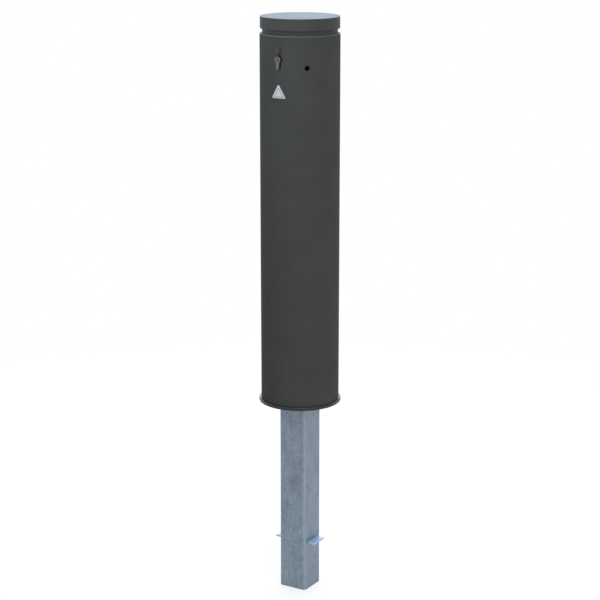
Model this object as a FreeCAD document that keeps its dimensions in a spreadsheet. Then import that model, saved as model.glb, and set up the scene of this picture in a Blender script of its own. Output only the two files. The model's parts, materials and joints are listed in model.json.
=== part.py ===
"""Round steel bollard on a square ground post, with a lift-off lid held by a cylinder lock.

Millimetres. Z is up and ground level is z = 0, at the underside of the ground plate. The front,
with the lock, looks along -Y. The post hangs below z = 0 and is set in the ground.
"""
import FreeCAD, Part

import math
import os

import Sketcher

V = FreeCAD.Vector
doc = FreeCAD.newDocument("Bollard")

# Driving sizes: alias, value and meaning. Lengths in mm, turns in degrees
SIZES = (
    ("tube_dia", "204", "outside diameter of the main tube"),
    ("tube_wall", "3", "wall of the main tube"),
    ("tube_top", "963", "height of the tube's top edge above ground"),
    ("tube_edge", "2.4", "chamfer on the tube's top outer edge"),
    ("plate_margin", "5.5", "how far the ground plate stands out past the tube"),
    ("plate_thick", "8", "thickness of the ground plate"),
    ("plate_edge", "2", "chamfer on the ground plate's upper rim"),
    ("cable_dia", "60", "cable hole in the middle of the ground plate"),
    ("post_side", "80", "outside width of the square ground post"),
    ("post_wall", "4", "wall of the ground post"),
    ("post_round", "8", "outside corner radius of the ground post"),
    ("post_depth", "525", "length of the ground post below ground level"),
    ("bar_wide", "50", "width of the flat anchor bar"),
    ("bar_thick", "5", "thickness of the anchor bar"),
    ("bar_proud", "20", "how far the anchor bar stands out of each post wall"),
    ("bar_depth", "392", "depth of the anchor bar's middle below ground level"),
    ("bar_gap", "0.2", "clearance of the anchor bar in its slots"),
    ("weld_leg", "5", "leg of the fillet weld under the ground plate"),
    ("weld_toe", "0.5", "thickness left at the weld's lower edge"),
    ("weld_gap", "0.05", "clearance between the weld bead and the post"),
    ("base_wide", "24", "radial width of the base ring inside the tube"),
    ("base_thick", "10", "thickness of the base ring"),
    ("ring_gap", "0.2", "radial clearance of the welded rings inside the tube"),
    ("base_screw_dia", "8", "thread diameter of the base screws"),
    ("base_screw_head", "16", "head diameter of the base screws"),
    ("base_screw_long", "16", "length of the base screws"),
    ("base_screw_sunk", "0.2", "how far the base screw heads lie below the plate's face"),
    ("base_screw_land", "0.5", "height of the straight rim of the base screw heads"),
    ("base_screw_hex", "5", "hexagon socket of the base screws, across flats"),
    ("base_screw_hex_deep", "3", "depth of that socket"),
    ("base_screw_count", "3", "number of base screws"),
    ("thread_gap", "0.05", "radial clearance between a screw and its hole"),
    ("guide_wall", "3", "wall of the guide ring between tube and neck"),
    ("guide_tall", "11", "height of the guide ring"),
    ("guide_drop", "1", "depth of the guide ring below the tube's top edge"),
    ("slide_gap", "0.3", "radial clearance of the neck in the guide ring"),
    ("neck_wall", "3", "wall of the neck sleeve"),
    ("neck_reach", "30", "how deep the neck sleeve goes into the tube"),
    ("seat_thick", "6", "thickness of the seat ring that the neck stands on"),
    ("seat_lip", "7.5", "how far the seat ring reaches in past the neck's inside"),
    ("lid_inset", "1", "how far the lid's rim lies inside the tube's outside"),
    ("lid_tall", "30", "height of the lid"),
    ("lid_top", "5", "thickness of the lid's top"),
    ("lid_edge", "0.8", "chamfer on the lid's upper rim"),
    ("lid_foot_edge", "0.6", "chamfer on the lid's lower rim"),
    ("lid_gap", "0.2", "radial clearance of the neck in the lid"),
    ("shadow_gap", "12", "open height between tube and lid"),
    ("small_screw_dia", "5", "thread diameter of the lid, keeper and cylinder screws"),
    ("small_screw_head", "8.5", "head diameter of those screws"),
    ("small_head_tall", "3", "head height of those screws"),
    ("small_slot_wide", "1.2", "width of the slot in those screws' heads"),
    ("small_slot_deep", "1.2", "depth of that slot"),
    ("lid_screw_count", "3", "number of screws from the neck into the lid's rim"),
    ("lid_screw_turn", "60", "turn of the first lid screw from the front"),
    ("lid_screw_rise", "10", "height of the lid screws above the lid's lower edge"),
    ("blind_skin", "1.2", "metal left at the bottom of a blind screw hole"),
    ("blind_room", "0.5", "room past a screw's end in its blind hole"),
    ("head_gap", "0.2", "gap under a flat screw head on a round wall"),
    ("lock_drop", "58", "depth of the lock's axis below the tube's top edge"),
    ("lock_proud", "5", "how far the lock cylinder stands out of the tube"),
    ("lock_long", "40", "length of the lock cylinder"),
    ("profile_round", "17", "diameter of the profile cylinder's round part"),
    ("profile_web", "10", "width of the profile cylinder's lower part"),
    ("profile_tall", "33", "overall height of the profile cylinder"),
    ("hole_gap", "2", "clearance of the profile cylinder in the tube's wall"),
    ("carrier_gap", "0.1", "clearance of the profile cylinder in its carrier"),
    ("cam_plane", "30", "distance of the cam's middle behind the cylinder's face"),
    ("cam_thick", "9.4", "thickness of the cam along the cylinder"),
    ("cam_side_gap", "0.3", "clearance on each side of the cam"),
    ("cam_ring_dia", "16.4", "outside diameter of the cam's ring"),
    ("cam_floor_gap", "0.5", "clearance under the cam's ring"),
    ("cam_wide", "7.8", "width of the cam's tongue"),
    ("cam_reach", "15.5", "reach of the cam's tongue from the lock's axis"),
    ("cam_nose", "1.5", "corner radius at the tip of the cam's tongue"),
    ("plug_dia", "13", "diameter of the turning plug"),
    ("plug_proud", "0.2", "how far the plug stands out of the cylinder's face"),
    ("plug_edge", "0.3", "chamfer on the plug's front edge"),
    ("key_tall", "8.6", "height of the keyway"),
    ("key_wide", "1.9", "width of the keyway"),
    ("key_deep", "27", "depth of the keyway"),
    ("key_step", "0.7", "sideways step of the keyway's profile"),
    ("carrier_wide", "16", "reach of the lock carrier to the cam's locking side"),
    ("carrier_lug", "24", "reach of the lock carrier to its lug side"),
    ("carrier_roof", "1.8", "metal above the lock carrier's bore"),
    ("carrier_floor", "4", "metal below the lock carrier's bore"),
    ("carrier_deep", "17", "depth of the lock carrier behind the tube's inside"),
    ("lug_tall", "12", "height of the lug that takes the cylinder screw"),
    ("lug_past", "6", "how far the lug reaches past the cam's middle"),
    ("lug_screw_rise", "5.5", "height of the cylinder screw above the profile's foot"),
    ("lug_screw_end", "4", "reach of the cylinder screw past the lock's middle"),
    ("strip_thick", "3", "thickness of the keeper's strip"),
    ("strip_wide", "8", "width of the keeper's strip"),
    ("strip_gap", "2.5", "clearance between the cam's tongue and the keeper's leg"),
    ("strip_flange", "25", "length of the keeper's upper flange"),
    ("strip_bend", "1", "inside radius of the keeper's bends"),
    ("keeper_gap", "1.5", "clearance between the locked cam and the keeper's foot"),
    ("keeper_screw_pitch", "10", "distance between the two keeper screws"),
    ("rivet_dia", "4", "diameter of the cover flap's rivet"),
    ("rivet_tail_dia", "6", "diameter of the rivet's closed tail inside the tube"),
    ("rivet_tail_tall", "1.5", "height of the rivet's closed tail"),
    ("rivet_head_dia", "6", "diameter of the rivet's head"),
    ("rivet_head_tall", "0.4", "height of the rivet's head"),
    ("rivet_room", "0.6", "clearance between the rivet's tail and the lock carrier"),
    ("spacer_dia", "8", "diameter of the spacer behind the cover flap"),
    ("seat_gap", "0.05", "gap between stacked pieces at the cover flap"),
    ("flap_dia", "15", "diameter of the cover flap's wide end"),
    ("flap_thick", "1.5", "thickness of the cover flap"),
    ("flap_gap", "0.3", "clearance between cover flap and plug"),
    ("flap_offset", "12.5", "distance from the rivet to the middle of that end"),
    ("flap_ear_dia", "8", "diameter of the cover flap's end round the rivet"),
    ("flap_edge", "0.4", "chamfer on the cover flap's front edge"),
    ("port_dia", "12.5", "diameter of the small side port"),
    ("port_turn", "41.5", "turn of the side port from the front towards +X"),
    ("port_drop", "78", "depth of the side port below the tube's top edge"),
    ("label_side", "40", "side of the triangular label plate"),
    ("label_drop", "119", "depth of the label's upper corner below the tube's top edge"),
    ("label_thick", "0.3", "thickness of the label plate"),
    ("label_round", "2", "corner radius of the label plate"),
    ("label_gap", "0.02", "glue line behind the label plate"),
)

dims = doc.addObject("Spreadsheet::Sheet", "Dims")
for row, (alias, value, meaning) in enumerate(SIZES, start=1):
    dims.set(f"A{row}", meaning)
    dims.set(f"B{row}", value)
    dims.setAlias(f"B{row}", alias)
doc.recompute()

# Places worked out from the driving sizes, as expressions that stay bound to the sheet
TUBE_R = "(Dims.tube_dia / 2)"
TUBE_IN_R = f"({TUBE_R} - Dims.tube_wall)"
RING_R = f"({TUBE_IN_R} - Dims.ring_gap)"
GUIDE_IN_R = f"({RING_R} - Dims.guide_wall)"
NECK_R = f"({GUIDE_IN_R} - Dims.slide_gap)"
NECK_IN_R = f"({NECK_R} - Dims.neck_wall)"
LID_R = f"({TUBE_R} - Dims.lid_inset)"
BASE_BOLT_R = f"({TUBE_IN_R} - Dims.base_wide / 2)"
NECK_FOOT = "(Dims.tube_top - Dims.neck_reach)"
LID_FOOT = "(Dims.tube_top + Dims.shadow_gap)"
LID_CEILING = f"({LID_FOOT} + Dims.lid_tall - Dims.lid_top)"
LID_SCREW_Z = f"({LID_FOOT} + Dims.lid_screw_rise)"
LID_SCREW_SEAT = f"({NECK_IN_R} - Dims.head_gap)"
LID_SCREW_END = f"({LID_R} - Dims.blind_skin - Dims.blind_room)"
SMALL_R = "(Dims.small_screw_dia / 2)"
SMALL_HOLE_R = f"({SMALL_R} + Dims.thread_gap)"
LOCK_Z = "(Dims.tube_top - Dims.lock_drop)"
LOCK_FACE = f"({TUBE_R} + Dims.lock_proud)"
LOCK_BACK = f"({LOCK_FACE} - Dims.lock_long)"
CAM_Y = f"({LOCK_FACE} - Dims.cam_plane)"
PROFILE_FOOT = f"({LOCK_Z} + Dims.profile_round / 2 - Dims.profile_tall)"
CAM_FLOOR = f"({LOCK_Z} - Dims.cam_ring_dia / 2 - Dims.cam_floor_gap)"
CARRIER_TOP = f"({LOCK_Z} + Dims.profile_round / 2 + Dims.carrier_gap + Dims.carrier_roof)"
CARRIER_FOOT = f"({PROFILE_FOOT} - Dims.carrier_gap - Dims.carrier_floor)"
CARRIER_BACK = f"({TUBE_IN_R} - Dims.carrier_deep)"
LUG_SCREW_Z = f"({PROFILE_FOOT} + Dims.lug_screw_rise)"
KEEPER_LEG = "(Dims.cam_reach + Dims.strip_gap)"
KEEPER_OUT = f"({KEEPER_LEG} + Dims.strip_thick)"
KEEPER_FRONT = f"({CAM_Y} + Dims.strip_wide / 2)"
KEEPER_TOE = "(Dims.profile_round / 2 + Dims.strip_gap)"
KEEPER_FOOT_TOP = f"({LOCK_Z} - Dims.cam_wide / 2 - Dims.keeper_gap)"
KEEPER_SCREW_X = f"({KEEPER_LEG} - Dims.strip_flange / 2)"
PIVOT_Z = f"({CARRIER_TOP} + Dims.rivet_tail_dia / 2 + Dims.rivet_room)"
FLAP_BACK = f"({LOCK_FACE} + Dims.plug_proud + Dims.flap_gap)"
FLAP_FRONT = f"({FLAP_BACK} + Dims.flap_thick)"
RIVET_HOLE_R = "(Dims.rivet_dia / 2 + Dims.thread_gap)"
RIVET_TAIL_SEAT = f"({TUBE_IN_R} - 2 * Dims.seat_gap)"
LABEL_TOP = "(Dims.tube_top - Dims.label_drop)"


def number(expression):
    """The value that an expression has now."""
    return float(dims.evalExpression(expression))


# Sketches and features

def new_body(label):
    """A sub-part whose label is its node name."""
    body = doc.addObject("PartDesign::Body", label)
    body.Label = label
    body.AllowCompound = True
    return body


def origin_feature(body, role):
    return next(item for item in body.Origin.OriginFeatures if item.Role == role)


def new_sketch(body, role, offset):
    """A sketch on one of the body's origin planes, moved along the plane's normal.

    On XZ_Plane the sketch's x is X, its y is Z, and the offset moves it towards -Y.
    """
    sketch = body.newObject("Sketcher::SketchObject", f"{body.Label}_sketch")
    sketch.AttachmentSupport = (origin_feature(body, role), [""])
    sketch.MapMode = "FlatFace"
    sketch.setExpression("AttachmentOffset.Base.z", offset)
    return sketch


def turned_sketch(body, turn, radius):
    """A sketch that looks outwards at that turn from -Y towards +X, at that radius."""
    sketch = new_sketch(body, "XZ_Plane", f"{radius} * cos({turn})")
    angle = number(turn)
    sketch.AttachmentOffset = FreeCAD.Placement(V(), FreeCAD.Rotation(V(0, 1, 0), angle))
    sketch.setExpression("AttachmentOffset.Base.x", f"{radius} * sin({turn})")
    sketch.setExpression("AttachmentOffset.Rotation.Angle", turn)
    return sketch


def dimension(sketch, constraint, expression):
    """Adds a sized constraint and binds it to the sheet."""
    index = sketch.addConstraint(constraint)
    name = f"size_{index}"
    sketch.renameConstraint(index, name)
    sketch.setExpression(f"Constraints.{name}", expression)


def place_along(sketch, kind, geometry, point, expression):
    """Holds a point at a signed distance from the origin, along X or along Y."""
    value = number(expression)
    axis = -2 if kind == "DistanceX" else -1
    if abs(value) < 1e-9:
        sketch.addConstraint(Sketcher.Constraint("PointOnObject", geometry, point, axis))
    elif value > 0:
        link = Sketcher.Constraint(kind, -1, 1, geometry, point, value)
        dimension(sketch, link, expression)
    else:
        link = Sketcher.Constraint(kind, geometry, point, -1, 1, -value)
        dimension(sketch, link, f"-({expression})")


def place_point(sketch, geometry, point, x, y):
    place_along(sketch, "DistanceX", geometry, point, x)
    place_along(sketch, "DistanceY", geometry, point, y)


def add_circle(sketch, radius, x="0", y="0"):
    centre = V(number(x), number(y), 0)
    circle = sketch.addGeometry(Part.Circle(centre, V(0, 0, 1), number(radius)), False)
    dimension(sketch, Sketcher.Constraint("Radius", circle, number(radius)), radius)
    place_point(sketch, circle, 3, x, y)


def add_polygon(sketch, corners):
    """A closed outline of straight lines, each corner held by its own two places."""
    points = [V(number(x), number(y), 0) for x, y in corners]
    count = len(points)
    lines = [
        sketch.addGeometry(Part.LineSegment(points[i], points[(i + 1) % count]), False)
        for i in range(count)
    ]
    for i, line in enumerate(lines):
        following = lines[(i + 1) % count]
        sketch.addConstraint(Sketcher.Constraint("Coincident", line, 2, following, 1))
        place_point(sketch, line, 1, *corners[i])


def add_box(sketch, x_low, x_high, y_low, y_high):
    add_polygon(sketch, ((x_low, y_low), (x_high, y_low), (x_high, y_high), (x_low, y_high)))


def add_rounded_square(sketch, side, radius):
    """A square about the origin whose corners are arcs."""
    half = number(side) / 2
    bend = number(radius)
    reach = half - bend
    arcs = []
    for quarter, (sx, sy) in enumerate(((1, 1), (-1, 1), (-1, -1), (1, -1))):
        centre = V(sx * reach, sy * reach, 0)
        circle = Part.Circle(centre, V(0, 0, 1), bend)
        start = quarter * math.pi / 2
        arc = sketch.addGeometry(Part.ArcOfCircle(circle, start, start + math.pi / 2), False)
        dimension(sketch, Sketcher.Constraint("Radius", arc, bend), radius)
        place_point(
            sketch, arc, 3,
            f"{sx} * ({side} / 2 - {radius})",
            f"{sy} * ({side} / 2 - {radius})",
        )
        arcs.append((arc, centre, start))
    for i, (arc, centre, start) in enumerate(arcs):
        next_arc, next_centre, next_start = arcs[(i + 1) % 4]
        swing = V(math.cos(next_start), math.sin(next_start), 0) * bend
        line = sketch.addGeometry(Part.LineSegment(centre + swing, next_centre + swing), False)
        sketch.addConstraint(Sketcher.Constraint("Tangent", arc, 2, line, 1))
        sketch.addConstraint(Sketcher.Constraint("Tangent", line, 2, next_arc, 1))


def add_lock_profile(sketch, growth):
    """The profile cylinder's section: a round part above a narrow web with a round foot."""
    round_r = f"(Dims.profile_round / 2 + {growth})"
    web_r = f"(Dims.profile_web / 2 + {growth})"
    foot_z = f"({PROFILE_FOOT} + Dims.profile_web / 2)"
    big = number(round_r)
    small = number(web_r)
    top = V(0, number(LOCK_Z), 0)
    foot = V(0, number(foot_z), 0)
    drop = math.sqrt(big * big - small * small)
    side = math.atan2(-drop, small)
    upper = sketch.addGeometry(
        Part.ArcOfCircle(Part.Circle(top, V(0, 0, 1), big), side, math.pi - side), False
    )
    lower = sketch.addGeometry(
        Part.ArcOfCircle(Part.Circle(foot, V(0, 0, 1), small), math.pi, 2 * math.pi), False
    )
    left = sketch.addGeometry(
        Part.LineSegment(top + V(-small, -drop, 0), foot + V(-small, 0, 0)), False
    )
    right = sketch.addGeometry(
        Part.LineSegment(foot + V(small, 0, 0), top + V(small, -drop, 0)), False
    )
    dimension(sketch, Sketcher.Constraint("Radius", upper, big), round_r)
    dimension(sketch, Sketcher.Constraint("Radius", lower, small), web_r)
    place_point(sketch, upper, 3, "0", LOCK_Z)
    place_point(sketch, lower, 3, "0", foot_z)
    sketch.addConstraint(Sketcher.Constraint("Coincident", upper, 2, left, 1))
    sketch.addConstraint(Sketcher.Constraint("Coincident", right, 2, upper, 1))
    sketch.addConstraint(Sketcher.Constraint("Tangent", left, 2, lower, 1))
    sketch.addConstraint(Sketcher.Constraint("Tangent", lower, 2, right, 1))
    sketch.addConstraint(Sketcher.Constraint("Vertical", left))
    sketch.addConstraint(Sketcher.Constraint("Vertical", right))


def pad(body, sketch, length, backwards=False):
    """Adds material along the sketch's normal, or against it."""
    feature = body.newObject("PartDesign::Pad", f"{body.Label}_pad")
    feature.Profile = sketch
    feature.setExpression("Length", length)
    feature.Reversed = backwards
    doc.recompute()
    return feature


def pocket(body, sketch, length, backwards=False):
    """Cuts against the sketch's normal, or along it, and makes sure that it cut something."""
    before = body.Shape.Volume
    feature = body.newObject("PartDesign::Pocket", f"{body.Label}_pocket")
    feature.Profile = sketch
    feature.setExpression("Length", length)
    feature.Reversed = backwards
    doc.recompute()
    if body.Shape.Volume >= before:
        raise ValueError(f"a pocket of {body.Label} cuts nothing")
    return feature


def polar(body, originals, count):
    """Repeats features evenly round the Z axis."""
    feature = body.newObject("PartDesign::PolarPattern", f"{body.Label}_pattern")
    feature.Originals = originals
    feature.Axis = (origin_feature(body, "Z_Axis"), [""])
    feature.Angle = 360
    feature.setExpression("Occurrences", count)
    body.Tip = feature
    doc.recompute()


def soften(body, kind, size, chosen):
    """A Fillet or Chamfer on the edges that the test chosen picks."""
    base = body.Tip
    names = [f"Edge{i}" for i, edge in enumerate(base.Shape.Edges, start=1) if chosen(edge)]
    feature = body.newObject(f"PartDesign::{kind}", f"{body.Label}_{kind.lower()}")
    feature.Base = (base, names)
    feature.setExpression("Radius" if kind == "Fillet" else "Size", size)
    doc.recompute()


def rim(radius, height):
    """Picks the round edge about the Z axis with that radius at that height."""
    def chosen(edge):
        if not isinstance(edge.Curve, Part.Circle):
            return False
        if abs(edge.Curve.Radius - number(radius)) > 1e-4:
            return False
        return abs(edge.Curve.Center.z - number(height)) < 1e-4
    return chosen


def line_at(axis, places):
    """Picks straight edges along an axis that pass through one of the places.

    The axis is 0, 1 or 2, and a place gives the other two coordinates in X, Y, Z order.
    """
    others = [i for i in range(3) if i != axis]

    def chosen(edge):
        if not isinstance(edge.Curve, Part.Line) or abs(edge.tangentAt(0)[axis]) < 0.999:
            return False
        middle = edge.CenterOfMass
        return any(
            abs(middle[others[0]] - first) < 1e-3 and abs(middle[others[1]] - second) < 1e-3
            for first, second in places
        )
    return chosen


# Ground anchor

def make_ground_post():
    """Square tube with rounded corners and a slot right through for the anchor bar."""
    body = new_body("ground_post")
    outline = new_sketch(body, "XY_Plane", "0")
    add_rounded_square(outline, "Dims.post_side", "Dims.post_round")
    add_rounded_square(
        outline,
        "(Dims.post_side - 2 * Dims.post_wall)",
        "(Dims.post_round - Dims.post_wall)",
    )
    pad(body, outline, "Dims.post_depth", backwards=True)
    slot = new_sketch(body, "YZ_Plane", "Dims.post_side")
    half_wide = "(Dims.bar_wide / 2 + Dims.bar_gap)"
    half_thick = "(Dims.bar_thick / 2 + Dims.bar_gap)"
    add_box(
        slot,
        f"-{half_wide}", half_wide,
        f"-Dims.bar_depth - {half_thick}", f"-Dims.bar_depth + {half_thick}",
    )
    pocket(body, slot, "2 * Dims.post_side")
    return body


def make_anchor_bar():
    """Flat bar that keeps the post from turning or being pulled out of its footing."""
    body = new_body("anchor_bar")
    half_long = "(Dims.post_side / 2 + Dims.bar_proud)"
    section = new_sketch(body, "YZ_Plane", f"-{half_long}")
    add_box(
        section,
        "-Dims.bar_wide / 2", "Dims.bar_wide / 2",
        "-Dims.bar_depth - Dims.bar_thick / 2", "-Dims.bar_depth + Dims.bar_thick / 2",
    )
    pad(body, section, f"2 * {half_long}")
    return body


def make_post_weld():
    """Fillet weld round the post under the ground plate."""
    body = new_body("post_weld")
    upper = new_sketch(body, "XY_Plane", "0")
    add_rounded_square(
        upper, "(Dims.post_side + 2 * Dims.weld_leg)", "(Dims.post_round + Dims.weld_leg)"
    )
    lower = new_sketch(body, "XY_Plane", "-Dims.weld_leg")
    add_rounded_square(
        lower, "(Dims.post_side + 2 * Dims.weld_toe)", "(Dims.post_round + Dims.weld_toe)"
    )
    bead = body.newObject("PartDesign::AdditiveLoft", "post_weld_loft")
    bead.Profile = upper
    bead.Sections = [lower]
    doc.recompute()
    core = new_sketch(body, "XY_Plane", "0")
    add_rounded_square(
        core, "(Dims.post_side + 2 * Dims.weld_gap)", "(Dims.post_round + Dims.weld_gap)"
    )
    pocket(body, core, "2 * Dims.weld_leg")
    return body


def countersunk_section(sketch, growth, foot, top):
    """Half section of a countersunk base screw or its hole, and the screw's axis."""
    axis_x = BASE_BOLT_R
    head_x = f"({axis_x} + Dims.base_screw_head / 2 + {growth})"
    shank_x = f"({axis_x} + Dims.base_screw_dia / 2 + {growth})"
    rim_top = "(Dims.base_screw_sunk + Dims.base_screw_land)"
    cone_top = f"({rim_top} + {head_x} - {shank_x})"
    add_polygon(sketch, (
        (axis_x, foot), (head_x, foot), (head_x, rim_top),
        (shank_x, cone_top), (shank_x, top), (axis_x, top),
    ))
    start = V(number(axis_x), number(foot), 0)
    end = V(number(axis_x), number(top), 0)
    axis = sketch.addGeometry(Part.LineSegment(start, end), True)
    place_point(sketch, axis, 1, axis_x, foot)
    place_point(sketch, axis, 2, axis_x, top)


def make_ground_plate():
    """Round plate on the post's top end, with a cable hole and countersunk screw holes."""
    body = new_body("ground_plate")
    outline = new_sketch(body, "XY_Plane", "0")
    plate_r = f"({TUBE_R} + Dims.plate_margin)"
    add_circle(outline, plate_r)
    add_circle(outline, "Dims.cable_dia / 2")
    pad(body, outline, "Dims.plate_thick")
    soften(body, "Chamfer", "Dims.plate_edge", rim(plate_r, "Dims.plate_thick"))
    section = new_sketch(body, "XZ_Plane", "0")
    countersunk_section(section, "Dims.thread_gap", "0", "Dims.plate_thick")
    before = body.Shape.Volume
    cut = body.newObject("PartDesign::Groove", "ground_plate_groove")
    cut.Profile = section
    cut.ReferenceAxis = (section, ["Axis0"])
    cut.Angle = 360
    doc.recompute()
    if body.Shape.Volume >= before:
        raise ValueError("the groove of ground_plate cuts nothing")
    polar(body, [cut], "Dims.base_screw_count")
    return body


def make_base_screws():
    """Countersunk socket screws that pull the base ring down onto the ground plate."""
    body = new_body("base_screws")
    section = new_sketch(body, "XZ_Plane", "0")
    countersunk_section(section, "0", "Dims.base_screw_sunk", "Dims.base_screw_long")
    turned = body.newObject("PartDesign::Revolution", "base_screws_revolution")
    turned.Profile = section
    turned.ReferenceAxis = (section, ["Axis0"])
    turned.Angle = 360
    doc.recompute()
    socket = new_sketch(body, "XY_Plane", "Dims.base_screw_sunk")
    reach = "Dims.base_screw_hex / sqrt(3)"
    add_polygon(socket, [
        (f"{BASE_BOLT_R} + {reach} * cos({turn})", f"{reach} * sin({turn})")
        for turn in range(0, 360, 60)
    ])
    cut = pocket(body, socket, "Dims.base_screw_hex_deep", backwards=True)
    polar(body, [turned, cut], "Dims.base_screw_count")
    return body


# Main tube and the rings inside it

def make_ring(label, outer, inner, foot, top):
    """A plain ring or tube about the Z axis."""
    body = new_body(label)
    outline = new_sketch(body, "XY_Plane", foot)
    add_circle(outline, outer)
    add_circle(outline, inner)
    pad(body, outline, f"{top} - {foot}")
    return body


def make_base_ring():
    """Ring welded into the tube's foot, with a tapped hole for each base screw."""
    top = "(Dims.plate_thick + Dims.base_thick)"
    inner = f"({TUBE_IN_R} - Dims.base_wide)"
    body = make_ring("base_ring", RING_R, inner, "Dims.plate_thick", top)
    hole = new_sketch(body, "XY_Plane", top)
    add_circle(hole, "Dims.base_screw_dia / 2 + Dims.thread_gap", x=BASE_BOLT_R)
    cut = pocket(body, hole, "2 * Dims.base_thick")
    polar(body, [cut], "Dims.base_screw_count")
    return body


def make_outer_tube():
    """The visible tube, with the lock's opening, the rivet hole and the side port."""
    body = make_ring("outer_tube", TUBE_R, TUBE_IN_R, "Dims.plate_thick", "Dims.tube_top")
    soften(body, "Chamfer", "Dims.tube_edge", rim(TUBE_R, "Dims.tube_top"))
    lock = new_sketch(body, "XZ_Plane", "Dims.tube_dia")
    add_lock_profile(lock, "Dims.hole_gap")
    add_circle(lock, RIVET_HOLE_R, y=PIVOT_Z)
    pocket(body, lock, "Dims.tube_dia")
    port = turned_sketch(body, "Dims.port_turn", "Dims.tube_dia")
    add_circle(port, "Dims.port_dia / 2", y="Dims.tube_top - Dims.port_drop")
    pocket(body, port, "Dims.tube_dia")
    return body


def make_seat_ring():
    """Ring welded into the tube; the neck sleeve stands on it."""
    inner = f"({NECK_IN_R} - Dims.seat_lip)"
    return make_ring("seat_ring", RING_R, inner, f"({NECK_FOOT} - Dims.seat_thick)", NECK_FOOT)


def make_guide_ring():
    """Ring that fills the space between tube and neck and guides the neck."""
    top = "(Dims.tube_top - Dims.guide_drop)"
    return make_ring("guide_ring", RING_R, GUIDE_IN_R, f"({top} - Dims.guide_tall)", top)


# Lid and neck

def make_lid():
    """Turned cap with a pocket for the neck sleeve and blind screw holes."""
    body = new_body("lid")
    outline = new_sketch(body, "XY_Plane", LID_FOOT)
    add_circle(outline, LID_R)
    pad(body, outline, "Dims.lid_tall")
    soften(body, "Chamfer", "Dims.lid_edge", rim(LID_R, f"{LID_FOOT} + Dims.lid_tall"))
    soften(body, "Chamfer", "Dims.lid_foot_edge", rim(LID_R, LID_FOOT))
    recess = new_sketch(body, "XY_Plane", LID_FOOT)
    add_circle(recess, f"{NECK_R} + Dims.lid_gap")
    pocket(body, recess, f"{LID_CEILING} - {LID_FOOT}", backwards=True)
    keeper = new_sketch(body, "XY_Plane", LID_CEILING)
    add_keeper_circles(keeper, SMALL_HOLE_R)
    pocket(body, keeper, "Dims.lid_top - Dims.blind_skin", backwards=True)
    bottom = f"({LID_R} - Dims.blind_skin)"
    hole = turned_sketch(body, "Dims.lid_screw_turn", bottom)
    add_circle(hole, SMALL_HOLE_R, y=LID_SCREW_Z)
    cut = pocket(body, hole, f"{bottom} - {NECK_R}")
    polar(body, [cut], "Dims.lid_screw_count")
    return body


def make_neck_sleeve():
    """Sleeve that hangs from the lid, stands on the seat ring and leaves the shadow gap."""
    body = make_ring("neck_sleeve", NECK_R, NECK_IN_R, NECK_FOOT, LID_CEILING)
    hole = turned_sketch(body, "Dims.lid_screw_turn", f"({NECK_R} + Dims.neck_wall)")
    add_circle(hole, SMALL_HOLE_R, y=LID_SCREW_Z)
    cut = pocket(body, hole, "3 * Dims.neck_wall")
    polar(body, [cut], "Dims.lid_screw_count")
    return body


def make_lid_screws():
    """Slotted screws from inside the neck into the lid's rim."""
    body = new_body("lid_screws")
    seat = turned_sketch(body, "Dims.lid_screw_turn", LID_SCREW_SEAT)
    add_circle(seat, SMALL_R, y=LID_SCREW_Z)
    shank = pad(body, seat, f"{LID_SCREW_END} - {LID_SCREW_SEAT}")
    under = turned_sketch(body, "Dims.lid_screw_turn", LID_SCREW_SEAT)
    add_circle(under, "Dims.small_screw_head / 2", y=LID_SCREW_Z)
    head = pad(body, under, "Dims.small_head_tall", backwards=True)
    face = f"({LID_SCREW_SEAT} - Dims.small_head_tall)"
    slot = turned_sketch(body, "Dims.lid_screw_turn", face)
    add_box(
        slot,
        "-Dims.small_screw_head", "Dims.small_screw_head",
        f"{LID_SCREW_Z} - Dims.small_slot_wide / 2", f"{LID_SCREW_Z} + Dims.small_slot_wide / 2",
    )
    cut = pocket(body, slot, "Dims.small_slot_deep", backwards=True)
    polar(body, [shank, head, cut], "Dims.lid_screw_count")
    return body


# Keeper under the lid

def add_keeper_circles(sketch, radius):
    """The same circle at both keeper screws, seen from above."""
    for side in ("-", "+"):
        x = f"{KEEPER_SCREW_X} {side} Dims.keeper_screw_pitch / 2"
        add_circle(sketch, radius, x=x, y=f"-{CAM_Y}")


def make_keeper_hook():
    """Bent strip under the lid; its foot lies below the cam's tongue when that is turned."""
    body = new_body("keeper_hook")
    flange_foot = f"({LID_CEILING} - Dims.strip_thick)"
    flange_end = f"({KEEPER_OUT} - Dims.strip_flange)"
    hook_foot = f"({KEEPER_FOOT_TOP} - Dims.strip_thick)"
    outline = new_sketch(body, "XZ_Plane", KEEPER_FRONT)
    add_polygon(outline, (
        (flange_end, flange_foot), (KEEPER_LEG, flange_foot),
        (KEEPER_LEG, KEEPER_FOOT_TOP), (KEEPER_TOE, KEEPER_FOOT_TOP),
        (KEEPER_TOE, hook_foot), (KEEPER_OUT, hook_foot),
        (KEEPER_OUT, LID_CEILING), (flange_end, LID_CEILING),
    ))
    pad(body, outline, "Dims.strip_wide", backwards=True)
    inner = [(number(KEEPER_LEG), number(z)) for z in (flange_foot, KEEPER_FOOT_TOP)]
    soften(body, "Fillet", "Dims.strip_bend", line_at(1, inner))
    outer = [(number(KEEPER_OUT), number(z)) for z in (LID_CEILING, hook_foot)]
    soften(body, "Fillet", "Dims.strip_bend + Dims.strip_thick", line_at(1, outer))
    holes = new_sketch(body, "XY_Plane", LID_CEILING)
    add_keeper_circles(holes, SMALL_HOLE_R)
    pocket(body, holes, "2 * Dims.strip_thick")
    return body


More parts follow.
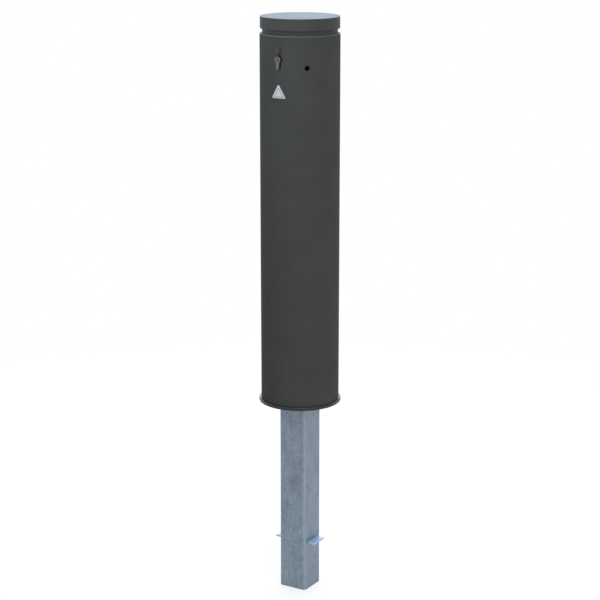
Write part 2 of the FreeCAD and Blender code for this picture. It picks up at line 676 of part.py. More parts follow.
def make_keeper_screws():
    """Two slotted screws that hold the keeper under the lid."""
    body = new_body("keeper_screws")
    flange_foot = f"({LID_CEILING} - Dims.strip_thick)"
    seat = new_sketch(body, "XY_Plane", flange_foot)
    add_keeper_circles(seat, SMALL_R)
    depth = "Dims.lid_top - Dims.blind_skin - Dims.blind_room"
    pad(body, seat, f"Dims.strip_thick + {depth}")
    under = new_sketch(body, "XY_Plane", flange_foot)
    add_keeper_circles(under, "Dims.small_screw_head / 2")
    pad(body, under, "Dims.small_head_tall", backwards=True)
    slot = new_sketch(body, "XY_Plane", f"{flange_foot} - Dims.small_head_tall")
    add_box(
        slot,
        f"{KEEPER_SCREW_X} - Dims.keeper_screw_pitch",
        f"{KEEPER_SCREW_X} + Dims.keeper_screw_pitch",
        f"-{CAM_Y} - Dims.small_slot_wide / 2", f"-{CAM_Y} + Dims.small_slot_wide / 2",
    )
    pocket(body, slot, "Dims.small_slot_deep", backwards=True)
    return body


# Lock

def make_lock_carrier():
    """Block welded behind the tube's wall that holds the profile cylinder and its screw."""
    body = new_body("lock_carrier")
    plan = new_sketch(body, "XY_Plane", CARRIER_FOOT)
    radius = number(RING_R)
    left = -number("Dims.carrier_lug")
    right = number("Dims.carrier_wide")
    front_left = V(left, -math.sqrt(radius**2 - left**2), 0)
    front_right = V(right, -math.sqrt(radius**2 - right**2), 0)
    back_left = V(left, -number(CARRIER_BACK), 0)
    back_right = V(right, -number(CARRIER_BACK), 0)
    start = math.atan2(front_left.y, front_left.x)
    end = math.atan2(front_right.y, front_right.x)
    circle = Part.Circle(V(), V(0, 0, 1), radius)
    arc = plan.addGeometry(Part.ArcOfCircle(circle, start, end), False)
    side = plan.addGeometry(Part.LineSegment(front_right, back_right), False)
    back = plan.addGeometry(Part.LineSegment(back_right, back_left), False)
    lug_side = plan.addGeometry(Part.LineSegment(back_left, front_left), False)
    plan.addConstraint(Sketcher.Constraint("Coincident", arc, 3, -1, 1))
    dimension(plan, Sketcher.Constraint("Radius", arc, radius), RING_R)
    plan.addConstraint(Sketcher.Constraint("Coincident", arc, 2, side, 1))
    plan.addConstraint(Sketcher.Constraint("Coincident", side, 2, back, 1))
    plan.addConstraint(Sketcher.Constraint("Coincident", back, 2, lug_side, 1))
    plan.addConstraint(Sketcher.Constraint("Coincident", lug_side, 2, arc, 1))
    plan.addConstraint(Sketcher.Constraint("Vertical", side))
    plan.addConstraint(Sketcher.Constraint("Vertical", lug_side))
    place_point(plan, back, 1, "Dims.carrier_wide", f"-{CARRIER_BACK}")
    place_point(plan, back, 2, "-Dims.carrier_lug", f"-{CARRIER_BACK}")
    pad(body, plan, f"{CARRIER_TOP} - {CARRIER_FOOT}")
    lug = new_sketch(body, "XY_Plane", PROFILE_FOOT)
    add_box(
        lug,
        "-Dims.carrier_lug", "-(Dims.profile_web / 2 + Dims.carrier_gap)",
        f"-{CARRIER_BACK}", f"-({CAM_Y} - Dims.lug_past)",
    )
    pad(body, lug, "Dims.lug_tall")
    bore = new_sketch(body, "XZ_Plane", TUBE_R)
    add_lock_profile(bore, "Dims.carrier_gap")
    pocket(body, bore, f"{TUBE_R} - {LOCK_BACK}")
    hole = new_sketch(body, "YZ_Plane", "-Dims.carrier_lug")
    add_circle(hole, SMALL_HOLE_R, x=f"-{CAM_Y}", y=LUG_SCREW_Z)
    pocket(body, hole, "Dims.carrier_lug", backwards=True)
    return body


def make_lock_cylinder():
    """Profile half cylinder: plug bore, slot for the cam and cross hole for its screw."""
    body = new_body("lock_cylinder")
    outline = new_sketch(body, "XZ_Plane", LOCK_FACE)
    add_lock_profile(outline, "0")
    pad(body, outline, "Dims.lock_long", backwards=True)
    bore = new_sketch(body, "XZ_Plane", LOCK_FACE)
    add_circle(bore, "Dims.plug_dia / 2 + Dims.thread_gap", y=LOCK_Z)
    pocket(body, bore, "2 * Dims.lock_long")
    half_slot = "(Dims.cam_thick / 2 + Dims.cam_side_gap)"
    slot = new_sketch(body, "XZ_Plane", f"{CAM_Y} + {half_slot}")
    add_box(
        slot,
        "-Dims.profile_round", "Dims.profile_round",
        CAM_FLOOR, f"{LOCK_Z} + Dims.profile_round",
    )
    pocket(body, slot, f"2 * {half_slot}")
    hole = new_sketch(body, "YZ_Plane", "Dims.profile_web")
    add_circle(hole, SMALL_HOLE_R, x=f"-{CAM_Y}", y=LUG_SCREW_Z)
    pocket(body, hole, "2 * Dims.profile_web")
    return body


def make_cylinder_screw():
    """Long slotted screw through the carrier's lug into the profile cylinder."""
    body = new_body("cylinder_screw")
    seat = new_sketch(body, "YZ_Plane", "-Dims.carrier_lug")
    add_circle(seat, SMALL_R, x=f"-{CAM_Y}", y=LUG_SCREW_Z)
    pad(body, seat, "Dims.carrier_lug + Dims.lug_screw_end")
    under = new_sketch(body, "YZ_Plane", "-Dims.carrier_lug")
    add_circle(under, "Dims.small_screw_head / 2", x=f"-{CAM_Y}", y=LUG_SCREW_Z)
    pad(body, under, "Dims.small_head_tall", backwards=True)
    slot = new_sketch(body, "YZ_Plane", "-Dims.carrier_lug - Dims.small_head_tall")
    add_box(
        slot,
        f"-{CAM_Y} - Dims.small_screw_head", f"-{CAM_Y} + Dims.small_screw_head",
        f"{LUG_SCREW_Z} - Dims.small_slot_wide / 2", f"{LUG_SCREW_Z} + Dims.small_slot_wide / 2",
    )
    pocket(body, slot, "Dims.small_slot_deep", backwards=True)
    return body


def make_lock_plug():
    """Turning plug with a stepped keyway."""
    body = new_body("lock_plug")
    face = f"({LOCK_FACE} + Dims.plug_proud)"
    outline = new_sketch(body, "XZ_Plane", face)
    add_circle(outline, "Dims.plug_dia / 2", y=LOCK_Z)
    pad(body, outline, f"{face} - {LOCK_BACK}", backwards=True)
    front_y = -number(face)
    soften(body, "Chamfer", "Dims.plug_edge", lambda edge: (
        isinstance(edge.Curve, Part.Circle) and abs(edge.Curve.Center.y - front_y) < 1e-4
    ))
    half = "Dims.key_wide / 2"
    low, low_step = f"{LOCK_Z} - Dims.key_tall / 2", f"{LOCK_Z} - Dims.key_tall / 6"
    high, high_step = f"{LOCK_Z} + Dims.key_tall / 2", f"{LOCK_Z} + Dims.key_tall / 6"
    keyway = new_sketch(body, "XZ_Plane", face)
    add_polygon(keyway, (
        (f"-{half}", low), (half, low), (half, low_step),
        (f"{half} + Dims.key_step", low_step), (f"{half} + Dims.key_step", high_step),
        (half, high_step), (half, high), (f"-{half}", high), (f"-{half}", high_step),
        (f"-{half} + Dims.key_step", high_step), (f"-{half} + Dims.key_step", low_step),
        (f"-{half}", low_step),
    ))
    pocket(body, keyway, "Dims.key_deep")
    return body


def make_lock_cam():
    """Ring on the plug with a tongue that stands up when the lock is open."""
    body = new_body("lock_cam")
    front = f"({CAM_Y} + Dims.cam_thick / 2)"
    ring = new_sketch(body, "XZ_Plane", front)
    add_circle(ring, "Dims.cam_ring_dia / 2", y=LOCK_Z)
    pad(body, ring, "Dims.cam_thick", backwards=True)
    tongue = new_sketch(body, "XZ_Plane", front)
    tip = f"{LOCK_Z} + Dims.cam_reach"
    add_box(tongue, "-Dims.cam_wide / 2", "Dims.cam_wide / 2", LOCK_Z, tip)
    pad(body, tongue, "Dims.cam_thick", backwards=True)
    half = number("Dims.cam_wide / 2")
    corners = [(side * half, number(tip)) for side in (-1, 1)]
    soften(body, "Fillet", "Dims.cam_nose", line_at(1, corners))
    bore = new_sketch(body, "XZ_Plane", front)
    add_circle(bore, "Dims.plug_dia / 2 + Dims.thread_gap", y=LOCK_Z)
    pocket(body, bore, "2 * Dims.cam_thick")
    return body


# Cover flap and label

def add_teardrop(sketch, big_radius, big_z, small_radius, small_z):
    """Two round ends, the big one above, joined by straight tangent sides."""
    big = number(big_radius)
    small = number(small_radius)
    top = V(0, number(big_z), 0)
    foot = V(0, number(small_z), 0)
    slope = math.asin((big - small) / (top.y - foot.y))
    upper = sketch.addGeometry(
        Part.ArcOfCircle(Part.Circle(top, V(0, 0, 1), big), -slope, math.pi + slope), False
    )
    lower = sketch.addGeometry(
        Part.ArcOfCircle(
            Part.Circle(foot, V(0, 0, 1), small), math.pi + slope, 2 * math.pi - slope
        ),
        False,
    )
    right = V(math.cos(slope), -math.sin(slope), 0)
    left = V(-math.cos(slope), -math.sin(slope), 0)
    left_side = sketch.addGeometry(Part.LineSegment(top + left * big, foot + left * small), False)
    right_side = sketch.addGeometry(Part.LineSegment(foot + right * small, top + right * big), False)
    dimension(sketch, Sketcher.Constraint("Radius", upper, big), big_radius)
    dimension(sketch, Sketcher.Constraint("Radius", lower, small), small_radius)
    place_point(sketch, upper, 3, "0", big_z)
    place_point(sketch, lower, 3, "0", small_z)
    sketch.addConstraint(Sketcher.Constraint("Tangent", upper, 2, left_side, 1))
    sketch.addConstraint(Sketcher.Constraint("Tangent", left_side, 2, lower, 1))
    sketch.addConstraint(Sketcher.Constraint("Tangent", lower, 2, right_side, 1))
    sketch.addConstraint(Sketcher.Constraint("Tangent", right_side, 2, upper, 1))


def make_cover_flap():
    """Drop-shaped flap that swings on its rivet from standing up to covering the keyway."""
    body = new_body("cover_flap")
    outline = new_sketch(body, "XZ_Plane", FLAP_BACK)
    add_teardrop(
        outline,
        "Dims.flap_dia / 2", f"({PIVOT_Z} + Dims.flap_offset)",
        "Dims.flap_ear_dia / 2", PIVOT_Z,
    )
    pad(body, outline, "Dims.flap_thick")
    front_y = -number(FLAP_FRONT)
    soften(body, "Chamfer", "Dims.flap_edge", lambda edge: (
        all(abs(corner.Point.y - front_y) < 1e-4 for corner in edge.Vertexes)
    ))
    hole = new_sketch(body, "XZ_Plane", FLAP_FRONT)
    add_circle(hole, RIVET_HOLE_R, y=PIVOT_Z)
    pocket(body, hole, "2 * Dims.flap_thick")
    return body


def make_flap_spacer():
    """Spacer that holds the flap clear of the tube and of the lock cylinder."""
    body = new_body("flap_spacer")
    front = f"({FLAP_BACK} - Dims.seat_gap)"
    outline = new_sketch(body, "XZ_Plane", front)
    add_circle(outline, "Dims.spacer_dia / 2", y=PIVOT_Z)
    add_circle(outline, RIVET_HOLE_R, y=PIVOT_Z)
    pad(body, outline, f"{front} - {TUBE_R} - Dims.seat_gap", backwards=True)
    return body


def make_flap_rivet():
    """Flat-headed rivet through flap, spacer and tube wall, closed inside the tube."""
    body = new_body("flap_rivet")
    seat = f"({FLAP_FRONT} + Dims.seat_gap)"
    shank = new_sketch(body, "XZ_Plane", seat)
    add_circle(shank, "Dims.rivet_dia / 2", y=PIVOT_Z)
    pad(body, shank, f"{seat} - {RIVET_TAIL_SEAT}", backwards=True)
    head = new_sketch(body, "XZ_Plane", seat)
    add_circle(head, "Dims.rivet_head_dia / 2", y=PIVOT_Z)
    pad(body, head, "Dims.rivet_head_tall")
    tail = new_sketch(body, "XZ_Plane", RIVET_TAIL_SEAT)
    add_circle(tail, "Dims.rivet_tail_dia / 2", y=PIVOT_Z)
    pad(body, tail, "Dims.rivet_tail_tall", backwards=True)
    return body


def make_label_plate():
    """Thin bare triangle that follows the tube's curve below the lock."""
    outline = new_body("label_outline")
    sketch = new_sketch(outline, "XZ_Plane", "Dims.tube_dia")
    base_z = f"({LABEL_TOP} - Dims.label_side * sqrt(3) / 2)"
    corners = (
        ("-Dims.label_side / 2", base_z), ("Dims.label_side / 2", base_z), ("0", LABEL_TOP),
    )
    add_polygon(sketch, corners)
    pad(outline, sketch, "Dims.tube_dia", backwards=True)
    places = [(number(x), number(z)) for x, z in corners]
    soften(outline, "Fillet", "Dims.label_round", line_at(1, places))
    skin = doc.addObject("Part::Cylinder", "label_skin")
    skin.setExpression("Radius", f"{TUBE_R} + Dims.label_gap + Dims.label_thick")
    skin.setExpression("Height", "Dims.tube_top")
    core = doc.addObject("Part::Cylinder", "label_core")
    core.setExpression("Radius", f"{TUBE_R} + Dims.label_gap")
    core.setExpression("Height", "Dims.tube_top")
    shell = doc.addObject("Part::Cut", "label_shell")
    shell.Base = skin
    shell.Tool = core
    plate = doc.addObject("Part::Common", "label_plate")
    plate.Base = shell
    plate.Tool = outline
    plate.Label = "label_plate"
    doc.recompute()
    return plate


sub_parts = [
    make_ground_post(), make_anchor_bar(), make_post_weld(), make_ground_plate(),
    make_base_screws(), make_base_ring(), make_outer_tube(), make_seat_ring(),
    make_guide_ring(), make_lid(), make_neck_sleeve(), make_lid_screws(),
    make_keeper_hook(), make_keeper_screws(), make_lock_carrier(), make_lock_cylinder(),
    make_cylinder_screw(), make_lock_plug(), make_lock_cam(), make_cover_flap(),
    make_flap_spacer(), make_flap_rivet(), make_label_plate(),
]
doc.recompute()

for item in doc.Objects:
    faults = {"Invalid", "Error"} & set(item.State)
    if faults:
        raise ValueError(f"{item.Name} is {faults}")
for part in sub_parts:
    if part.Shape.isNull() or not part.Shape.isValid() or not part.Shape.Solids:
        raise ValueError(f"{part.Label} has no valid solid")

os.makedirs("parts", exist_ok=True)
for part in sub_parts:
    part.Shape.exportStep(f"parts/{part.Label}.step")
    box = part.Shape.BoundBox
    print(
        f"{part.Label}: {len(part.Shape.Solids)} solid(s), {part.Shape.Volume:.0f} mm3, "
        f"x {box.XMin:.1f} to {box.XMax:.1f}, y {box.YMin:.1f} to {box.YMax:.1f}, "
        f"z {box.ZMin:.1f} to {box.ZMax:.1f}"
    )
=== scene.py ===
"""Looks of the street bollard: a finish for every piece, the studio and the camera.

Metres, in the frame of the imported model: Z is up, ground level is z = 0, the lock looks along -Y.
"""

import json
import math

import bpy
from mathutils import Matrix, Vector


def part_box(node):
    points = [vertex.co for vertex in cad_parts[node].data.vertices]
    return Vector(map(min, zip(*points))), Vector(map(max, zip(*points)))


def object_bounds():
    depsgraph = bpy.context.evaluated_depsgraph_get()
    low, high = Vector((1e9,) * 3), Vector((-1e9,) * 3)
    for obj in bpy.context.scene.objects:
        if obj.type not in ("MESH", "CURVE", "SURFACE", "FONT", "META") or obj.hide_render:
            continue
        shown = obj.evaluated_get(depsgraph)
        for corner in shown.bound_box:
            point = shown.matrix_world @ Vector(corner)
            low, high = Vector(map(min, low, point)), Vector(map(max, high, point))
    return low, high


MM = 0.001

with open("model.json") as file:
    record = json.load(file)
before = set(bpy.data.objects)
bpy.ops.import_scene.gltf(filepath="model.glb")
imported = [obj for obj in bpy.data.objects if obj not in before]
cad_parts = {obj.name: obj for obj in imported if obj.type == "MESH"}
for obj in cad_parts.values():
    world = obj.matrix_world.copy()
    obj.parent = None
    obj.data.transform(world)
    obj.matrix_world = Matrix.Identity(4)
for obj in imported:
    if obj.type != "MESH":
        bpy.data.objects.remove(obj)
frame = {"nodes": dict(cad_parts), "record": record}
nodes = frame["nodes"]
cad_low, cad_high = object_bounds()


def linear(red, green, blue):
    """A screen colour of three numbers from 0 to 255 as the linear colour that shaders use."""
    def channel(value):
        share = value / 255
        return share / 12.92 if share <= 0.04045 else ((share + 0.055) / 1.055) ** 2.4
    return (channel(red), channel(green), channel(blue), 1.0)


def grey(value):
    """A linear grey from 0 to 1."""
    return (value, value, value, 1.0)


# Shader building

def feed(tree, socket, value):
    """Links an input to another node's output, or sets it to a plain value."""
    if isinstance(value, bpy.types.NodeSocket):
        tree.links.new(value, socket)
    else:
        socket.default_value = value


def add_node(tree, kind, inputs=None, **settings):
    """A shader node with its settings made and its inputs fed."""
    node = tree.nodes.new(kind)
    for name, value in settings.items():
        setattr(node, name, value)
    for name, value in (inputs or {}).items():
        feed(tree, node.inputs[name], value)
    return node


def new_material(name):
    """A material with its node tree and its Principled shader."""
    material = bpy.data.materials.new(name)
    material.use_nodes = True
    return material, material.node_tree, material.node_tree.nodes["Principled BSDF"]


def surface_place(tree):
    """Where on its piece a point lies, in metres."""
    return add_node(tree, "ShaderNodeTexCoord").outputs["Object"]


def flattened(tree, place, share):
    """That place with its height times the share, so that patterns come out drawn upwards."""
    inputs = {"Vector": place, "Scale": (1.0, 1.0, share)}
    return add_node(tree, "ShaderNodeMapping", inputs).outputs["Vector"]


def noise(tree, place, size, detail=2.0, roughness=0.5):
    """Cloudy noise from about 0 to 1 whose features are about that large, in metres."""
    inputs = {"Vector": place, "Scale": 1 / size, "Detail": detail, "Roughness": roughness}
    return add_node(tree, "ShaderNodeTexNoise", inputs).outputs["Fac"]


def crystals(tree, place, size):
    """One random grey for each crystal of about that size, in metres."""
    inputs = {"Vector": place, "Scale": 1 / size, "Randomness": 1.0}
    cells = add_node(tree, "ShaderNodeTexVoronoi", inputs)
    return add_node(tree, "ShaderNodeRGBToBW", {"Color": cells.outputs["Color"]}).outputs["Val"]


def combined(tree, operation, first, second):
    """Two numbers brought together by a Math node's operation."""
    node = add_node(tree, "ShaderNodeMath", operation=operation)
    feed(tree, node.inputs[0], first)
    feed(tree, node.inputs[1], second)
    return node.outputs["Value"]


def weighted(tree, *parts):
    """The sum of grey patterns, each taken about its middle grey and times its weight."""
    total = 0.5
    for pattern, weight in parts:
        centred = combined(tree, "SUBTRACT", pattern, 0.5)
        total = combined(tree, "ADD", combined(tree, "MULTIPLY", centred, weight), total)
    return total


def remapped(tree, value, low, high, start=0.0, end=1.0):
    """A number from start to end turned into one from low to high, and held at those outside."""
    inputs = {
        "Value": value, "From Min": start, "From Max": end, "To Min": low, "To Max": high,
    }
    return add_node(tree, "ShaderNodeMapRange", inputs).outputs["Result"]


def mask(tree, value, start, end):
    """0 up to the start, rising evenly to 1 at the end."""
    return remapped(tree, value, 0.0, 1.0, start, end)


def toned(tree, value, dark, light):
    """A colour between dark and light by a grey from 0 to 1."""
    ramp = add_node(tree, "ShaderNodeValToRGB", {"Fac": value})
    ramp.color_ramp.elements[0].color = dark
    ramp.color_ramp.elements[1].color = light
    return ramp.outputs["Color"]


def blended(tree, share, first, second, way="MIX"):
    """The first colour where the share is 0, the second laid over it in that way where it is 1."""
    inputs = {"Factor": share, "A": first, "B": second}
    mix = add_node(tree, "ShaderNodeMix", inputs, data_type="RGBA", blend_type=way)
    return mix.outputs["Result"]


def raised(tree, height, depth, edge=0.0):
    """A normal for a relief of that depth over edges rounded by that radius, in metres."""
    inputs = {"Height": height, "Distance": depth}
    if edge:
        corner = add_node(tree, "ShaderNodeBevel", {"Radius": edge}, samples=4)
        inputs["Normal"] = corner.outputs["Normal"]
    return add_node(tree, "ShaderNodeBump", inputs).outputs["Normal"]


def plug_in(tree, shader, **inputs):
    """Feeds inputs of a shader, named with _ for a space."""
    for name, value in inputs.items():
        feed(tree, shader.inputs[name.replace("_", " ")], value)


# Finishes

def top_rim(tree, place, node, depth):
    """1 near that piece's highest edge, fading to 0 at that depth below it, in metres."""
    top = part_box(node)[1].z
    full_depth = 0.7 * depth
    height = add_node(tree, "ShaderNodeSeparateXYZ", {"Vector": place}).outputs["Z"]
    return mask(tree, height, start=top - depth, end=top - full_depth)


def powder_coat(
    name="anthracite_coat", shine=0.06, smooth=0.42, rough=0.52, peel_depth=0.01 * MM
):
    """Matt anthracite powder coat with a fine grain over soft orange peel."""
    material, tree, shader = new_material(name)
    place = surface_place(tree)
    grain = noise(tree, place, 0.9 * MM, detail=1.0)
    peel = noise(tree, place, 4 * MM, detail=1.0)
    cloud = noise(tree, place, 70 * MM, detail=3.0)
    tone = weighted(tree, (grain, 0.9), (cloud, 0.8))
    relief = weighted(tree, (grain, 0.6), (peel, 1.0))
    plug_in(
        tree, shader,
        Base_Color=toned(tree, tone, linear(63, 65, 62), linear(76, 77, 74)),
        Roughness=remapped(tree, weighted(tree, (grain, 0.6), (cloud, 1.0)), smooth, rough),
        Normal=raised(tree, relief, peel_depth, edge=0.8 * MM),
        IOR=1.45,
        Specular_IOR_Level=shine,
    )
    return material


def tube_coat():
    """The same coat on the tube: a duller skin, with a painted highlight along the top edge."""
    material = powder_coat(
        "anthracite_tube_coat", shine=0.02, smooth=0.55, rough=0.68, peel_depth=0.02 * MM
    )
    tree = material.node_tree
    shader = tree.nodes["Principled BSDF"]
    skin = shader.inputs["Base Color"].links[0].from_socket
    # The paler colour laid along the tube's top edge is a painted highlight.
    painted_rim_highlight = linear(96, 100, 104)
    rim_highlight_mix = top_rim(tree, surface_place(tree), "outer_tube", 2.4 * MM)
    plug_in(tree, shader, Base_Color=blended(tree, rim_highlight_mix, skin, painted_rim_highlight))
    return material


def plate_coat():
    """Smoother black coat of the ground plate, dark in front and bright where light grazes it."""
    material, tree, shader = new_material("black_plate_coat")
    place = surface_place(tree)
    grain = noise(tree, place, 1.2 * MM, detail=1.0)
    dust = noise(tree, place, 14 * MM, detail=3.0)
    tone = weighted(tree, (grain, 0.6), (dust, 1.2))
    plug_in(
        tree, shader,
        Base_Color=toned(tree, tone, linear(24, 25, 25), linear(44, 45, 45)),
        Roughness=remapped(tree, tone, 0.20, 0.34),
        Normal=raised(tree, grain, 0.02 * MM, edge=0.5 * MM),
        Specular_IOR_Level=0.35,
    )
    return material


def post_corners(tree, place):
    """1 on the rounded corners of the square post, 0 on its flat sides."""
    half_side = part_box("ground_post")[1].x
    rounding_start = half_side - 7 * MM
    rounding_full = half_side - 4 * MM
    split = add_node(tree, "ShaderNodeSeparateXYZ", {"Vector": place}).outputs
    beside = combined(tree, "ABSOLUTE", split["X"], 0.0)
    along = combined(tree, "ABSOLUTE", split["Y"], 0.0)
    inner = combined(tree, "MINIMUM", beside, along)
    return mask(tree, inner, rounding_start, rounding_full)


def galvanised(
    name="hot_dip_zinc", dark=linear(88, 98, 107), light=linear(138, 152, 164), metallic=0.55
):
    """Hot-dip zinc: blue-grey, with spangle, dark flecks in clusters, runs and a painted highlight
    on the corners.
    """
    material, tree, shader = new_material(name)
    place = surface_place(tree)
    spangle = crystals(tree, place, 8 * MM)
    mottle = noise(tree, place, 6 * MM, detail=3.0, roughness=0.6)
    streak = noise(tree, flattened(tree, place, 0.07), 3.5 * MM, detail=2.0)
    cloud = noise(tree, place, 60 * MM, detail=2.0)
    specks = mask(tree, noise(tree, place, 2.6 * MM, detail=1.0), start=0.50, end=0.64)
    patches = noise(tree, place, 40 * MM, detail=1.0)
    clusters = remapped(tree, patches, 0.15, 1.0, start=0.42, end=0.60)
    flecks = combined(tree, "MULTIPLY", specks, clusters)
    tone = weighted(
        tree, (spangle, 0.28), (mottle, 0.7), (streak, 0.8), (cloud, 0.5), (flecks, -0.42)
    )
    skin = toned(tree, tone, dark, light)
    # The paler colour on the post's corners is a painted highlight.
    painted_corner_highlight = linear(160, 174, 186)
    corner_highlight_weight = 0.42
    corner_highlight_mix = combined(tree, "MULTIPLY", post_corners(tree, place), corner_highlight_weight)
    relief = weighted(tree, (mottle, 0.6), (flecks, -0.6), (streak, 0.4))
    plug_in(
        tree, shader,
        Base_Color=blended(tree, corner_highlight_mix, skin, painted_corner_highlight),
        Roughness=remapped(tree, weighted(tree, (spangle, 0.5), (mottle, 0.8)), 0.30, 0.50),
        Normal=raised(tree, relief, 0.12 * MM, edge=0.6 * MM),
        Metallic=metallic,
    )
    return material


def bar_zinc_painted_reflection():
    """Zinc of the flat anchor bar, painted brighter and bluer as a stand-in for the sky's
    reflection.
    """
    return galvanised("bar_zinc_painted_reflection", linear(146, 170, 202), linear(174, 198, 228), metallic=0.3)


def zinc_plate():
    """Bright zinc plate on turned and bent small parts."""
    material, tree, shader = new_material("bright_zinc_plate")
    place = surface_place(tree)
    grain = noise(tree, place, 0.6 * MM, detail=2.0)
    cloud = noise(tree, place, 9 * MM, detail=2.0)
    tone = weighted(tree, (grain, 0.5), (cloud, 0.9))
    plug_in(
        tree, shader,
        Base_Color=toned(tree, tone, linear(160, 164, 170), linear(200, 203, 204)),
        Roughness=remapped(tree, tone, 0.25, 0.42),
        Normal=raised(tree, grain, 0.02 * MM, edge=0.2 * MM),
        Metallic=1.0,
    )
    return material


def nickel():
    """Satin nickel of the lock, with fine upright brushing and a worn, warm tint."""
    material, tree, shader = new_material("satin_nickel")
    place = surface_place(tree)
    brushing = noise(tree, flattened(tree, place, 0.06), 0.25 * MM, detail=2.0)
    stain = noise(tree, place, 5 * MM, detail=3.0)
    tone = weighted(tree, (brushing, 0.5), (stain, 0.9))
    plug_in(
        tree, shader,
        Base_Color=toned(tree, tone, linear(84, 81, 76), linear(118, 115, 109)),
        Roughness=remapped(tree, tone, 0.32, 0.5),
        Normal=raised(tree, brushing, 0.01 * MM, edge=0.25 * MM),
        Metallic=0.85,
    )
    return material


def black_plastic():
    """Fine-grained black plastic of the guide ring."""
    material, tree, shader = new_material("grained_black_plastic")
    place = surface_place(tree)
    grain = noise(tree, place, 0.7 * MM, detail=2.0)
    cloud = noise(tree, place, 12 * MM, detail=2.0)
    tone = weighted(tree, (grain, 0.6), (cloud, 0.7))
    plug_in(
        tree, shader,
        Base_Color=toned(tree, tone, linear(34, 35, 35), linear(46, 47, 47)),
        Roughness=remapped(tree, tone, 0.45, 0.62),
        Normal=raised(tree, grain, 0.04 * MM, edge=0.3 * MM),
    )
    return material


def label_film():
    """Triangle of pale film: a border, a dark line inside it and a plain field."""
    material, tree, shader = new_material("label_film")
    place = surface_place(tree)
    low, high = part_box("label_plate")
    centre_rise = (high.x - low.x) / (2 * math.sqrt(3))
    side_slope = math.radians(30)
    line_from = 0.66
    line_to = 0.80

    # The distance outwards from the triangle's centre, as a share of that to its sides
    split = add_node(tree, "ShaderNodeSeparateXYZ", {"Vector": place}).outputs
    across = combined(tree, "ABSOLUTE", split["X"], 0.0)
    rise = combined(tree, "SUBTRACT", split["Z"], low.z)
    from_middle = combined(tree, "SUBTRACT", rise, centre_rise)
    sloped = combined(
        tree, "ADD",
        combined(tree, "MULTIPLY", across, math.cos(side_slope)),
        combined(tree, "MULTIPLY", from_middle, math.sin(side_slope)),
    )
    downwards = combined(tree, "MULTIPLY", from_middle, -1.0)
    outwards = combined(tree, "MAXIMUM", sloped, downwards)
    share = combined(tree, "DIVIDE", outwards, centre_rise)

    print_tones = add_node(tree, "ShaderNodeValToRGB", {"Fac": share})
    ramp = print_tones.color_ramp
    ramp.interpolation = "CONSTANT"
    ramp.elements[0].color = linear(196, 199, 202)
    ramp.elements[1].position = line_from
    ramp.elements[1].color = linear(96, 99, 101)
    ramp.elements.new(line_to).color = linear(205, 208, 210)
    grain = noise(tree, place, 0.5 * MM, detail=1.0)
    plug_in(
        tree, shader,
        Base_Color=blended(tree, grain, print_tones.outputs["Color"], grey(0.93), "MULTIPLY"),
        Roughness=remapped(tree, grain, 0.35, 0.5),
        Normal=raised(tree, grain, 0.01 * MM),
    )
    return material


FINISHES = {
    "coated_steel": powder_coat,
    "galvanised_steel": galvanised,
    "zinc_plated_steel": zinc_plate,
    "nickel_plate": nickel,
    "black_plastic": black_plastic,
    "label_film": label_film,
}


def dress(node, material):
    """Gives a CAD piece its finish."""
    for holder in nodes[node].material_slots:
        holder.material = material


def dress_all():
    """Gives every piece the finish of its slot, and the tube, the plate and the bar their own."""
    finishes = {slot: make() for slot, make in FINISHES.items()}
    for row in frame["record"]["subparts"]:
        dress(row["node"], finishes[row["material_slot"]])
    dress("outer_tube", tube_coat())
    dress("ground_plate", plate_coat())
    # The bar's brighter, bluer zinc is a painted sky reflection.
    dress("anchor_bar", bar_zinc_painted_reflection())


# Studio

def seen_directly(tree):
    """1 for camera, glossy and transmission rays, which see the white surroundings."""
    path = add_node(tree, "ShaderNodeLightPath").outputs
    seen = combined(tree, "MAXIMUM", path["Is Camera Ray"], path["Is Glossy Ray"])
    return combined(tree, "MAXIMUM", seen, path["Is Transmission Ray"])


def mixed_shader(tree, share, first, second):
    """The first shader where the share is 0, the second where it is 1."""
    mix = add_node(tree, "ShaderNodeMixShader")
    tree.links.new(share, mix.inputs[0])
    tree.links.new(first.outputs[0], mix.inputs[1])
    tree.links.new(second.outputs[0], mix.inputs[2])
    return mix


def make_world():
    """Soft even light all round, which looks white where it is seen."""
    world = bpy.data.worlds.new("studio")
    bpy.context.scene.world = world
    world.use_nodes = True
    tree = world.node_tree
    tree.nodes.clear()
    soft_light = {"Color": (0.94, 0.97, 1.0, 1.0), "Strength": 0.49}
    white_light = {"Color": grey(1.0), "Strength": 1.0}
    ambient = add_node(tree, "ShaderNodeBackground", soft_light)
    white = add_node(tree, "ShaderNodeBackground", white_light)
    shown = mixed_shader(tree, seen_directly(tree), ambient, white)
    out = add_node(tree, "ShaderNodeOutputWorld")
    tree.links.new(shown.outputs[0], out.inputs["Surface"])


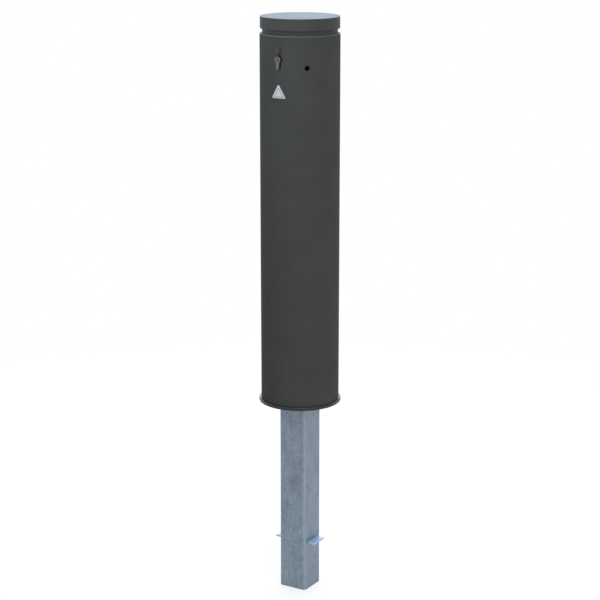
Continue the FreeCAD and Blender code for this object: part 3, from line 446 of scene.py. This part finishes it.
def make_floor():
    """Pale floor under the post's foot; it keeps the shadow near the post and is white beyond."""
    side = 60.0
    fade_from = 0.8
    fade_to = 2.4
    bpy.ops.mesh.primitive_plane_add(size=side, location=(0.0, 0.0, cad_low.z))
    floor = bpy.context.object
    floor.name = "floor"
    material = bpy.data.materials.new("pale_floor")
    material.use_nodes = True
    tree = material.node_tree
    tree.nodes.clear()

    # Near the post, a shaded grey and a glow add up to white outside the shadow
    shaded = add_node(tree, "ShaderNodeBsdfDiffuse", {"Color": grey(0.45)})
    glow = add_node(tree, "ShaderNodeEmission", {"Strength": 0.62})
    near = add_node(tree, "ShaderNodeAddShader")
    tree.links.new(shaded.outputs[0], near.inputs[0])
    tree.links.new(glow.outputs[0], near.inputs[1])
    far = add_node(tree, "ShaderNodeEmission", {"Strength": 1.0})
    place = surface_place(tree)
    reach = add_node(tree, "ShaderNodeVectorMath", {"Vector": place}, operation="LENGTH")
    fade = mask(tree, reach.outputs["Value"], fade_from, fade_to)
    seen = mixed_shader(tree, fade, near, far)

    # The light that the floor throws back on the object comes from a plain pale grey
    plain = add_node(tree, "ShaderNodeBsdfDiffuse", {"Color": grey(0.75)})
    final = mixed_shader(tree, seen_directly(tree), plain, seen)
    out = add_node(tree, "ShaderNodeOutputMaterial")
    tree.links.new(final.outputs[0], out.inputs["Surface"])
    floor.data.materials.append(material)


def softbox(name, place, target, size, radiance, colour, spread=180):
    """A rectangular lamp that faces the target, with a face of that size and radiance.

    A spread of less than 180 degrees gathers the same power into a beam.
    """
    width, height = size
    lamp = bpy.data.lights.new(name, "AREA")
    lamp.shape = "RECTANGLE"
    lamp.size = width
    lamp.size_y = height
    lamp.energy = radiance * math.pi * width * height
    lamp.color = colour
    lamp.spread = math.radians(spread)
    holder = bpy.data.objects.new(name, lamp)
    bpy.context.scene.collection.objects.link(holder)
    holder.location = place
    holder.rotation_euler = (Vector(target) - Vector(place)).to_track_quat("-Z", "Y").to_euler()


def make_lights():
    """A warm key from the front right and cool lamps round and above the bollard."""
    middle = (cad_low + cad_high) / 2
    ground = (0.0, 0.0, 0.0)
    head = (0.0, 0.0, 1.0)
    above_head = (0.0, 0.0, 1.3)
    post = (0.0, 0.0, -0.4)
    softbox(
        "key", (3.2, -2.6, 2.6), middle,
        size=(2.4, 2.4), radiance=3.9, colour=(1.0, 0.985, 0.965),
    )
    softbox(
        "sky", (-1.0, 2.6, 3.2), head,
        size=(5.0, 3.0), radiance=0.8, colour=(0.86, 0.93, 1.0),
    )
    softbox(
        "horizon", (-2.6, 4.2, 2.3), head,
        size=(5.4, 1.4), radiance=6.1, colour=(0.59, 0.76, 1.0),
    )
    softbox(
        "top", (0.0, 0.0, 4.5), ground,
        size=(3.0, 3.0), radiance=2.0, colour=(0.80, 0.90, 1.0),
    )
    softbox(
        "upper_left", (-1.3, -2.75, 2.7), above_head,
        size=(0.8, 0.8), radiance=1.15, colour=(0.76, 0.86, 1.0), spread=30,
    )
    softbox(
        "rear_right", (3.4, 3.6, 1.4), post,
        size=(2.0, 2.2), radiance=1.6, colour=(0.60, 0.80, 1.0),
    )


def make_camera():
    """Looks down at the bollard from the front right, at the photograph's angle."""
    azimuth = math.radians(31.5)
    elevation = math.radians(14.5)
    distance = 4.5
    aim = Vector((0.0, 0.0, 0.2694))
    back = Vector((
        math.sin(azimuth) * math.cos(elevation),
        -math.cos(azimuth) * math.cos(elevation),
        math.sin(elevation),
    ))
    lens = bpy.data.cameras.new("camera")
    lens.sensor_width = 36.0
    lens.lens = 103.4
    camera = bpy.data.objects.new("camera", lens)
    bpy.context.scene.collection.objects.link(camera)
    camera.location = aim + back * distance
    camera.rotation_mode = "QUATERNION"
    camera.rotation_quaternion = (-back).to_track_quat("-Z", "Y")
    bpy.context.scene.camera = camera


bpy.context.scene.view_settings.view_transform = "Standard"
dress_all()
make_world()
make_floor()
make_lights()
make_camera()
